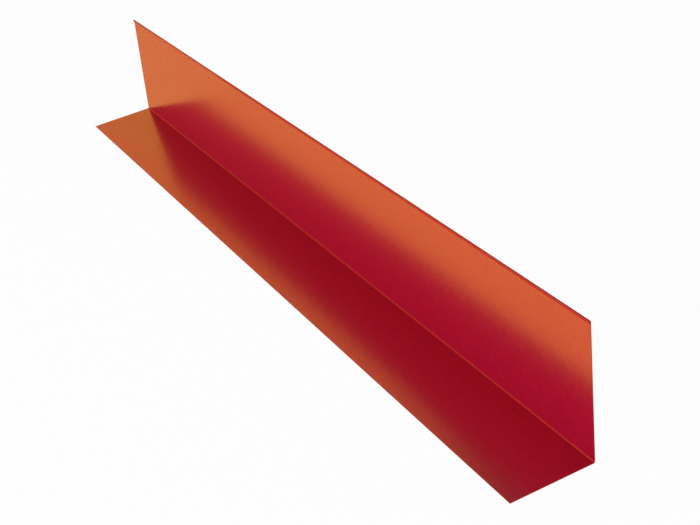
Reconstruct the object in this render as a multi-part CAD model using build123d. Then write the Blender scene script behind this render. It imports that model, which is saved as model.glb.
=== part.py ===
"""Roof flashing: one strip of coated sheet metal, folded once along its length into an open angle.

The flat leg lies on the roof. The upright leg stands against the wall and leans back a little.
The top edge of the upright is hemmed: folded over to the front and pressed down as a safe edge,
which leaves the back flush for the wall. The other edges are plain shear cuts.

X runs along the flashing, +Y points at the wall and +Z is up. The origin is under the middle of
the piece, on the surface that the flat leg lies on.
"""

import math
import os

from build123d import *

# Driving dimensions, in millimetres and degrees
LENGTH = 1000.0  # along the fold
FLAT_WIDTH = 75.0  # outside corner of the fold to the cut front edge
UPRIGHT_HEIGHT = 120.0  # outside corner of the fold to the top of the hem, along the leg
LEG_ANGLE = 95.0  # between the two legs
SHEET = 0.6  # thickness of the sheet with its coats
FOLD_RADIUS = 1.5  # inside the fold
HEM_RADIUS = 0.2  # inside the hem's fold
HEM_LIP = 1.8  # straight part of the hem, from its fold down to the cut edge
HEM_GAP = 0.15  # left between the hem's cut edge and the upright's front face

# Directions in the section, where the flat leg points along -X and the fold's outside corner is 0, 0
along_upright = Vector(-1, 0).rotate(Axis.Z, -LEG_ANGLE)
off_upright = along_upright.rotate(Axis.Z, 90)
into_angle = Vector(-1, 0).rotate(Axis.Z, -LEG_ANGLE / 2)

# The outside of every turn is the underside and the back of the sheet
fold_outside = FOLD_RADIUS + SHEET
hem_outside = HEM_RADIUS + SHEET

# The hem's lip is tucked in past the half turn, until only its gap is left at the cut edge
hem_reach = math.hypot(HEM_LIP, HEM_RADIUS)
hem_tuck = math.atan2(HEM_RADIUS, HEM_LIP) + math.asin((HEM_RADIUS - HEM_GAP) / hem_reach)
hem_turn = 180 + math.degrees(hem_tuck)


def sheet_face(depth):
    """One face of the sheet in section, that far in from the underside and the back."""
    front_edge = Vector(-FLAT_WIDTH, depth)
    fold_corner = into_angle * (depth / math.sin(math.radians(LEG_ANGLE / 2)))
    hem_start = along_upright * (UPRIGHT_HEIGHT - hem_outside) + off_upright * depth
    legs = FilletPolyline(front_edge, fold_corner, hem_start, radius=fold_outside - depth)
    hem_fold = JernArc(legs @ 1, legs % 1, hem_outside - depth, hem_turn)
    lip = PolarLine(hem_fold @ 1, HEM_LIP, direction=hem_fold % 1)
    return Wire(legs.edges() + hem_fold.edges() + lip.edges())


outside = sheet_face(0)
inside = sheet_face(SHEET)
front_cut = Line(outside @ 0, inside @ 0)
lip_cut = Line(outside @ 1, inside @ 1)
section = make_face(outside.edges() + inside.edges() + front_cut.edges() + lip_cut.edges())

# The section stands across the length, and the piece is set over the origin
flashing = extrude(Plane.YZ * section, LENGTH / 2, both=True)
box = flashing.bounding_box()
flashing_sheet = Pos(0, -box.center().Y, -box.min.Z) * flashing

os.makedirs("parts", exist_ok=True)
export_step(flashing_sheet, "parts/flashing_sheet.step")
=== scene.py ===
import math

import bpy
from mathutils import Matrix, Vector


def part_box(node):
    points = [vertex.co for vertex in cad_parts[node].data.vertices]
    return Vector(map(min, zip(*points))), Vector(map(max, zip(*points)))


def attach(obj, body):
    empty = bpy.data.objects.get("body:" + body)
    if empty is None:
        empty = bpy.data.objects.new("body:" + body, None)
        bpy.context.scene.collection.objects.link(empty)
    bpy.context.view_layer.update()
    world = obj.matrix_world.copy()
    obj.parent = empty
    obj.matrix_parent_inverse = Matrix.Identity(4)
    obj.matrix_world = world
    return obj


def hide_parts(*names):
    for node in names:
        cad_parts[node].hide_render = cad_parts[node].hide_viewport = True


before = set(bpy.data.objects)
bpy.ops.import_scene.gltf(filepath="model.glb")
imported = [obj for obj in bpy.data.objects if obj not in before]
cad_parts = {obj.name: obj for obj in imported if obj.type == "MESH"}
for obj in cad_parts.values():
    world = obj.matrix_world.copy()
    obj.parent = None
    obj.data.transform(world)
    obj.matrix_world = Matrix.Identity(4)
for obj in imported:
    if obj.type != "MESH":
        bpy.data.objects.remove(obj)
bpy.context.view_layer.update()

# The sheet
# The flashing is one strip of thin coated sheet metal, a metre long. It is folded once along its
# length on a folding bench, a little wider than square. Its top edge is folded over to the front
# and pressed down as a hem, and the other edges are left as the shear cut them.
MM = 0.001
HALF_TURN = math.radians(180)
SHEET = 0.6 * MM
FLAT_WIDTH = 75 * MM
LEG_ANGLE = math.radians(95)
FOLD_RADIUS = 1.5 * MM
HEM_RADIUS = 0.2 * MM
HEM_LIP = 1.8 * MM
HEM_GAP = 0.15 * MM
CUT_ROUND = 0.1 * MM

low, high = (Vector(corner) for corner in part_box("flashing_sheet"))
length = high.x - low.x
lean = LEG_ANGLE - HALF_TURN / 2
up_leg = Vector((0, math.sin(lean), math.cos(lean)))
off_leg = Vector((0, -math.cos(lean), math.sin(lean)))
outside_corner = Vector((0, low.y + FLAT_WIDTH, low.z))

fold_turn = HALF_TURN - LEG_ANGLE
fold_outside = FOLD_RADIUS + SHEET
fold_run = fold_outside * math.tan(fold_turn / 2)
fold_start = outside_corner - Vector((0, fold_run, 0))
fold_centre = fold_start + Vector((0, 0, fold_outside))

# The hem's lip is tucked in past the half turn, until only its gap is left at the cut edge.
hem_reach = math.hypot(HEM_LIP, HEM_RADIUS)
hem_tuck = math.atan2(HEM_RADIUS, HEM_LIP) + math.asin((HEM_RADIUS - HEM_GAP) / hem_reach)
hem_turn = HALF_TURN + hem_tuck
hem_outside = HEM_RADIUS + SHEET
hem_height = (high.z - low.z - hem_outside * (1 + off_leg.z)) / up_leg.z
hem_centre = outside_corner + up_leg * hem_height + off_leg * hem_outside
lip_fall = -(up_leg * math.cos(hem_tuck) + off_leg * math.sin(hem_tuck)) * HEM_LIP

# The underside and the back are drawn first as one skin, from the front edge to the hem's cut edge.
ROW_LENGTH = 25 * MM
ROW_WIDTH = 12.5 * MM
FOLD_STEPS = 12
HEM_STEPS = 24
MERGE = 0.01 * MM
flat_run = FLAT_WIDTH - fold_run
upright_run = hem_height - fold_run
upright_rows = round(upright_run / ROW_WIDTH)
row_rise = up_leg * (upright_run / upright_rows)

bpy.ops.object.select_all(action="DESELECT")
bpy.ops.mesh.primitive_grid_add(
    x_subdivisions=round(length / ROW_LENGTH),
    y_subdivisions=round(flat_run / ROW_WIDTH),
    size=1,
)
flashing = bpy.context.object
flashing.name = "flashing"
bpy.ops.object.mode_set(mode="EDIT")
bpy.ops.transform.resize(value=(length, flat_run, 1))
bpy.ops.transform.translate(value=(0, low.y + flat_run / 2, low.z))

bpy.ops.mesh.select_all(action="DESELECT")
bpy.ops.object.mode_set(mode="OBJECT")
for vertex in flashing.data.vertices:
    vertex.select = vertex.co.y > fold_start.y - MERGE
bpy.ops.object.mode_set(mode="EDIT")
bpy.ops.mesh.spin(steps=FOLD_STEPS, angle=-fold_turn, center=fold_centre, axis=(1, 0, 0))
for row in range(upright_rows):
    bpy.ops.mesh.extrude_region_move(TRANSFORM_OT_translate={"value": row_rise})
bpy.ops.mesh.spin(steps=HEM_STEPS, angle=-hem_turn, center=hem_centre, axis=(1, 0, 0))
bpy.ops.mesh.extrude_region_move(TRANSFORM_OT_translate={"value": lip_fall})

bpy.ops.mesh.select_all(action="SELECT")
bpy.ops.mesh.remove_doubles(threshold=MERGE)
bpy.ops.mesh.normals_make_consistent(inside=False)
bpy.ops.object.mode_set(mode="OBJECT")
underside = flashing.data.polygons[0]
if underside.normal.z > 0:
    flashing.data.flip_normals()

# The skin gets the sheet's thickness. Its rim and the rounding of its corners are the sheared edge.
EDGE_SLOT = 1
CUT_CORNER = math.radians(60)
wall = flashing.modifiers.new("sheet thickness", "SOLIDIFY")
wall.thickness = SHEET
wall.offset = -1
wall.use_even_offset = True
wall.material_offset_rim = EDGE_SLOT
bpy.ops.object.modifier_apply(modifier=wall.name)
cut_edges = flashing.modifiers.new("sheared edges", "BEVEL")
cut_edges.width = CUT_ROUND
cut_edges.segments = 2
cut_edges.material = EDGE_SLOT
cut_edges.limit_method = "ANGLE"
cut_edges.angle_limit = CUT_CORNER


def srgb(hex_colour):
    """The linear colour, with alpha, of an sRGB hex value."""
    channels = [int(hex_colour[i:i + 2], 16) / 255 for i in (1, 3, 5)]
    linear = [c / 12.92 if c <= 0.04045 else ((c + 0.055) / 1.055) ** 2.4 for c in channels]
    return (*linear, 1)


def add_node(tree, kind, settings=None, links=None):
    """Adds a node, with its properties and inputs set and other nodes' outputs linked to its inputs."""
    node = tree.nodes.new(kind)
    for name, value in (settings or {}).items():
        if isinstance(name, str) and hasattr(node, name):
            setattr(node, name, value)
        else:
            node.inputs[name].default_value = value
    for name, output in (links or {}).items():
        tree.links.new(output, node.inputs[name])
    return node


# Metallic coil coat, copper red, rolled on to both faces of the strip and baked. Copper flakes lie flat
# in a crimson film: they mirror the room in orange as a satin metal does, in faint clouds, and the film
# glows crimson where the legs mirror each other. Along the fold and under the hem's lip the coat is
# painted redder, with fewer flakes: this is painted shade and a painted change in what the bends
# mirror, not a change in the coat. The orange peel is drawn coarser than the real one.
FILM_CRIMSON = "#B8083C"
# The redder film colour along the fold and the hem is painted shade, not a colour of the coat.
SHADED_BEND_CRIMSON = "#B4102A"
FILM_ROUGHNESS = 0.5
FLAKE_COPPER = "#DE7C31"
FLAKE_EDGE = "#FFF6C0"
FLAKE_SHARE = 0.5
# The smaller flake share along the fold and the hem paints out part of their reflection.
SHADED_BEND_FLAKE_SHARE = 0.32
CLOUD_SIZE = 5 * MM
CLOUD_SPAN = (0.3, 0.7)
CLOUD_SHARE = 0.05
CLOUD_ROUGHNESS = (0.23, 0.18)
PEEL_SIZE = 5 * MM
PEEL_DEPTH = 0.06 * MM
# How far the painted shade reaches from the fold and from the middle of the hem, and how soft its edge
# is.
FOLD_SHADE_REACH = 1.3 * MM
HEM_SHADE_REACH = 1.9 * MM
BEND_SHADE_BLUR = 0.3 * MM

coat = bpy.data.materials.new("copper_red_coil_coat")
coat.use_nodes = True
tree = coat.node_tree
tree.nodes.clear()
place = add_node(tree, "ShaderNodeTexCoord").outputs["Object"]
across = add_node(tree, "ShaderNodeVectorMath", {"operation": "MULTIPLY", 1: (0, 1, 1)}, {0: place})
fold_line = fold_centre + (outside_corner - fold_centre).normalized() * (FOLD_RADIUS + SHEET / 2)
hem_line = hem_centre + up_leg * (hem_outside - HEM_LIP) / 2
# Masks of the painted shade along the fold and under the hem's lip.
bend_shade_bands = []
for line, reach in ((fold_line, FOLD_SHADE_REACH), (hem_line, HEM_SHADE_REACH)):
    away = add_node(
        tree, "ShaderNodeVectorMath", {"operation": "DISTANCE", 1: line}, {0: across.outputs[0]}
    )
    bend_shade_bands.append(add_node(
        tree, "ShaderNodeMapRange", {"From Min": reach + BEND_SHADE_BLUR, "From Max": reach - BEND_SHADE_BLUR},
        {"Value": away.outputs["Value"]},
    ))
painted_bend_shade = add_node(
    tree, "ShaderNodeMath", {"operation": "MAXIMUM"}, {0: bend_shade_bands[0].outputs[0], 1: bend_shade_bands[1].outputs[0]}
)
clouds = add_node(
    tree, "ShaderNodeTexNoise", {"Scale": 1 / CLOUD_SIZE, "Detail": 4, "Roughness": 0.65},
    {"Vector": place},
)
cloud_share = add_node(
    tree, "ShaderNodeMapRange",
    {
        "From Min": CLOUD_SPAN[0], "From Max": CLOUD_SPAN[1],
        "To Min": FLAKE_SHARE - CLOUD_SHARE, "To Max": FLAKE_SHARE + CLOUD_SHARE,
    },
    {"Value": clouds.outputs["Fac"]},
)
# Along the fold and the hem the flake share drops, as a painted change in reflection.
flake_share = add_node(
    tree, "ShaderNodeMapRange", {"To Max": SHADED_BEND_FLAKE_SHARE},
    {"Value": painted_bend_shade.outputs[0], "To Min": cloud_share.outputs[0]},
)
flake_roughness = add_node(
    tree, "ShaderNodeMapRange",
    {
        "From Min": CLOUD_SPAN[0], "From Max": CLOUD_SPAN[1],
        "To Min": CLOUD_ROUGHNESS[0], "To Max": CLOUD_ROUGHNESS[1],
    },
    {"Value": clouds.outputs["Fac"]},
)
peel = add_node(tree, "ShaderNodeTexNoise", {"Scale": 1 / PEEL_SIZE, "Detail": 1}, {"Vector": place})
surface = add_node(tree, "ShaderNodeBump", {"Distance": PEEL_DEPTH}, {"Height": peel.outputs["Fac"]})
# The film is painted redder along the fold and the hem, as painted shade.
film_colour = add_node(
    tree, "ShaderNodeMix", {"data_type": "RGBA", 6: srgb(FILM_CRIMSON), 7: srgb(SHADED_BEND_CRIMSON)},
    {0: painted_bend_shade.outputs[0]},
)
film = add_node(
    tree, "ShaderNodeBsdfPrincipled", {"Roughness": FILM_ROUGHNESS, "Specular IOR Level": 0},
    {"Base Color": film_colour.outputs[2], "Normal": surface.outputs[0]},
)
flakes = add_node(
    tree, "ShaderNodeBsdfPrincipled",
    {"Base Color": srgb(FLAKE_COPPER), "Metallic": 1, "Specular Tint": srgb(FLAKE_EDGE)},
    {"Roughness": flake_roughness.outputs[0], "Normal": surface.outputs[0]},
)
coat_mix = add_node(
    tree, "ShaderNodeMixShader", None,
    {0: flake_share.outputs[0], 1: film.outputs[0], 2: flakes.outputs[0]},
)
add_node(tree, "ShaderNodeOutputMaterial", None, {"Surface": coat_mix.outputs[0]})

# Sheared edge, where the blade has dragged the red film down over the cut metal. It is dull and darker
# than the faces, and uneven along the cut. The drag marks are drawn coarser than the real ones.
EDGE_DARK = "#4A0A16"
EDGE_LIGHT = "#741622"
EDGE_ROUGHNESS = (0.45, 0.65)
EDGE_GLOSS = 0.15
DRAG_SIZE = 2 * MM
DRAG_DEPTH = 0.02 * MM

sheared = bpy.data.materials.new("sheared_sheet_edge")
sheared.use_nodes = True
tree = sheared.node_tree
tree.nodes.clear()
place = add_node(tree, "ShaderNodeTexCoord").outputs["Object"]
drag = add_node(tree, "ShaderNodeTexNoise", {"Scale": 1 / DRAG_SIZE, "Detail": 3}, {"Vector": place})
tone = add_node(tree, "ShaderNodeValToRGB", None, {0: drag.outputs["Fac"]})
tone.color_ramp.elements[0].color = srgb(EDGE_DARK)
tone.color_ramp.elements[1].color = srgb(EDGE_LIGHT)
dulled = add_node(
    tree, "ShaderNodeMapRange", {"To Min": EDGE_ROUGHNESS[0], "To Max": EDGE_ROUGHNESS[1]},
    {"Value": drag.outputs["Fac"]},
)
surface = add_node(tree, "ShaderNodeBump", {"Distance": DRAG_DEPTH}, {"Height": drag.outputs["Fac"]})
edge = add_node(
    tree, "ShaderNodeBsdfPrincipled", {"Specular IOR Level": EDGE_GLOSS},
    {"Base Color": tone.outputs[0], "Roughness": dulled.outputs[0], "Normal": surface.outputs[0]},
)
add_node(tree, "ShaderNodeOutputMaterial", None, {"Surface": edge.outputs[0]})

# With its finishes on, the sheet gets its rounded cut edges, and the folds are shaded smooth.
SMOOTH_CORNER = math.radians(35)
flashing.data.materials.append(coat)
flashing.data.materials.append(sheared)
bpy.ops.object.modifier_apply(modifier=cut_edges.name)
bpy.ops.object.shade_smooth_by_angle(angle=SMOOTH_CORNER)
even = flashing.modifiers.new("flat faces stay flat", "WEIGHTED_NORMAL")
even.keep_sharp = True
even.weight = 100
bpy.ops.object.modifier_apply(modifier=even.name)
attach(flashing, "root")
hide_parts("flashing_sheet")

# The floor
# A plain white studio floor, wide enough to fill the picture. It keeps a faint shadow.
FLOOR_SIZE = 40
FLOOR_WHITE = "#F2F2F2"
FLOOR_GLOW = 0.96

bpy.ops.object.select_all(action="DESELECT")
bpy.ops.mesh.primitive_plane_add(size=FLOOR_SIZE)
floor = bpy.context.object
floor.name = "floor"
floor_white = bpy.data.materials.new("white_studio_floor")
floor_white.use_nodes = True
tree = floor_white.node_tree
tree.nodes.clear()
ray = add_node(tree, "ShaderNodeLightPath")
lit = add_node(tree, "ShaderNodeBsdfDiffuse", {"Color": srgb(FLOOR_WHITE)})
glow = add_node(tree, "ShaderNodeEmission", {"Color": srgb("#FFFFFF"), "Strength": 1})
seen = ray.outputs["Is Camera Ray"]
for kind in ("Is Glossy Ray", "Is Transmission Ray"):
    either = add_node(tree, "ShaderNodeMath", {"use_clamp": True}, {0: seen, 1: ray.outputs[kind]})
    seen = either.outputs[0]
share = add_node(tree, "ShaderNodeMath", {"operation": "MULTIPLY", 1: FLOOR_GLOW}, {0: seen})
mix = add_node(
    tree, "ShaderNodeMixShader", None,
    {0: share.outputs[0], 1: lit.outputs[0], 2: glow.outputs[0]},
)
add_node(tree, "ShaderNodeOutputMaterial", None, {"Surface": mix.outputs[0]})
floor.data.materials.append(floor_white)

# The light
# A pale room, brightest near the horizon and cooler overhead, with soft lamps of a slightly warm white.
# A large one stands in front of the flashing and one hangs over it, a little to the back. Two faint
# ones stand beyond its far end, one over the other, for the glow on the flat leg.
LAMP_WHITE = "#FFF6EA"
LAMP_AIM = Vector((0, 0, 0.05))

# Each stop of the room is a height, a level and a level of blue.
ROOM_STOPS = [
    (0, 1, 1), (0.2, 0.45, 0.45), (0.3, 0.3, 0.35),
    (0.42, 0.14, 0.28), (0.6, 0.09, 0.32), (1, 0.11, 0.45),
]
world = bpy.data.worlds.new("studio")
bpy.context.scene.world = world
world.use_nodes = True
tree = world.node_tree
tree.nodes.clear()
direction = add_node(tree, "ShaderNodeTexCoord").outputs["Generated"]
axes = add_node(tree, "ShaderNodeSeparateXYZ", None, {0: direction})
ramp = add_node(tree, "ShaderNodeValToRGB", None, {0: axes.outputs["Z"]})
for i, (height, level, blue) in enumerate(ROOM_STOPS):
    stop = ramp.color_ramp.elements[i] if i < 2 else ramp.color_ramp.elements.new(height)
    stop.position = height
    stop.color = (level, level, blue, 1)
background = add_node(tree, "ShaderNodeBackground", {"Strength": 1}, {"Color": ramp.outputs[0]})
add_node(tree, "ShaderNodeOutputWorld", None, {"Surface": background.outputs[0]})


def add_softbox(name, width, height, place, radiance):
    """A flat soft lamp that looks at the flashing, as bright to the eye as the radiance says."""
    data = bpy.data.lights.new(name, "AREA")
    data.shape = "RECTANGLE"
    data.size = width
    data.size_y = height
    data.energy = radiance * math.pi * width * height
    data.color = srgb(LAMP_WHITE)[:3]
    lamp = bpy.data.objects.new(name, data)
    facing = (LAMP_AIM - Vector(place)).to_track_quat("-Z", "Y").to_matrix().to_4x4()
    lamp.matrix_world = Matrix.Translation(place) @ facing
    bpy.context.collection.objects.link(lamp)


add_softbox("key", width=3.6, height=1.6, place=(0.3, -2.25, 0.85), radiance=3.45)
add_softbox("top", width=1.6, height=1.3, place=(0, 0.85, 2.2), radiance=3.2)
add_softbox("back_low", width=1.7, height=1.1, place=(-2.6, 0.95, 0.75), radiance=0.68)
add_softbox("back_high", width=1.7, height=0.8, place=(-2.6, 1.2, 1.85), radiance=0.72)

# The camera
# It stands beyond the near end, to the front and above, and is turned a little about its own axis.
FRAME_WIDTH_PX = 700
FOCAL_PX = 1450.8
SENSOR_MM = 36
NEAREST = 10 * MM
EYE = Vector((1252.8, -423.8, 658.3)) * MM
VIEW = Vector((-0.8246, 0.3246, -0.4634))
ROLL = math.radians(-11.41)

camera_data = bpy.data.cameras.new("camera")
camera_data.sensor_width = SENSOR_MM
camera_data.lens = FOCAL_PX / FRAME_WIDTH_PX * SENSOR_MM
camera_data.clip_start = NEAREST
camera = bpy.data.objects.new("camera", camera_data)
facing = VIEW.to_track_quat("-Z", "Y").to_matrix().to_4x4()
camera.matrix_world = Matrix.Translation(EYE) @ facing @ Matrix.Rotation(ROLL, 4, "Z")
bpy.context.collection.objects.link(camera)
bpy.context.scene.camera = camera

bpy.context.scene.view_settings.view_transform = "Standard"
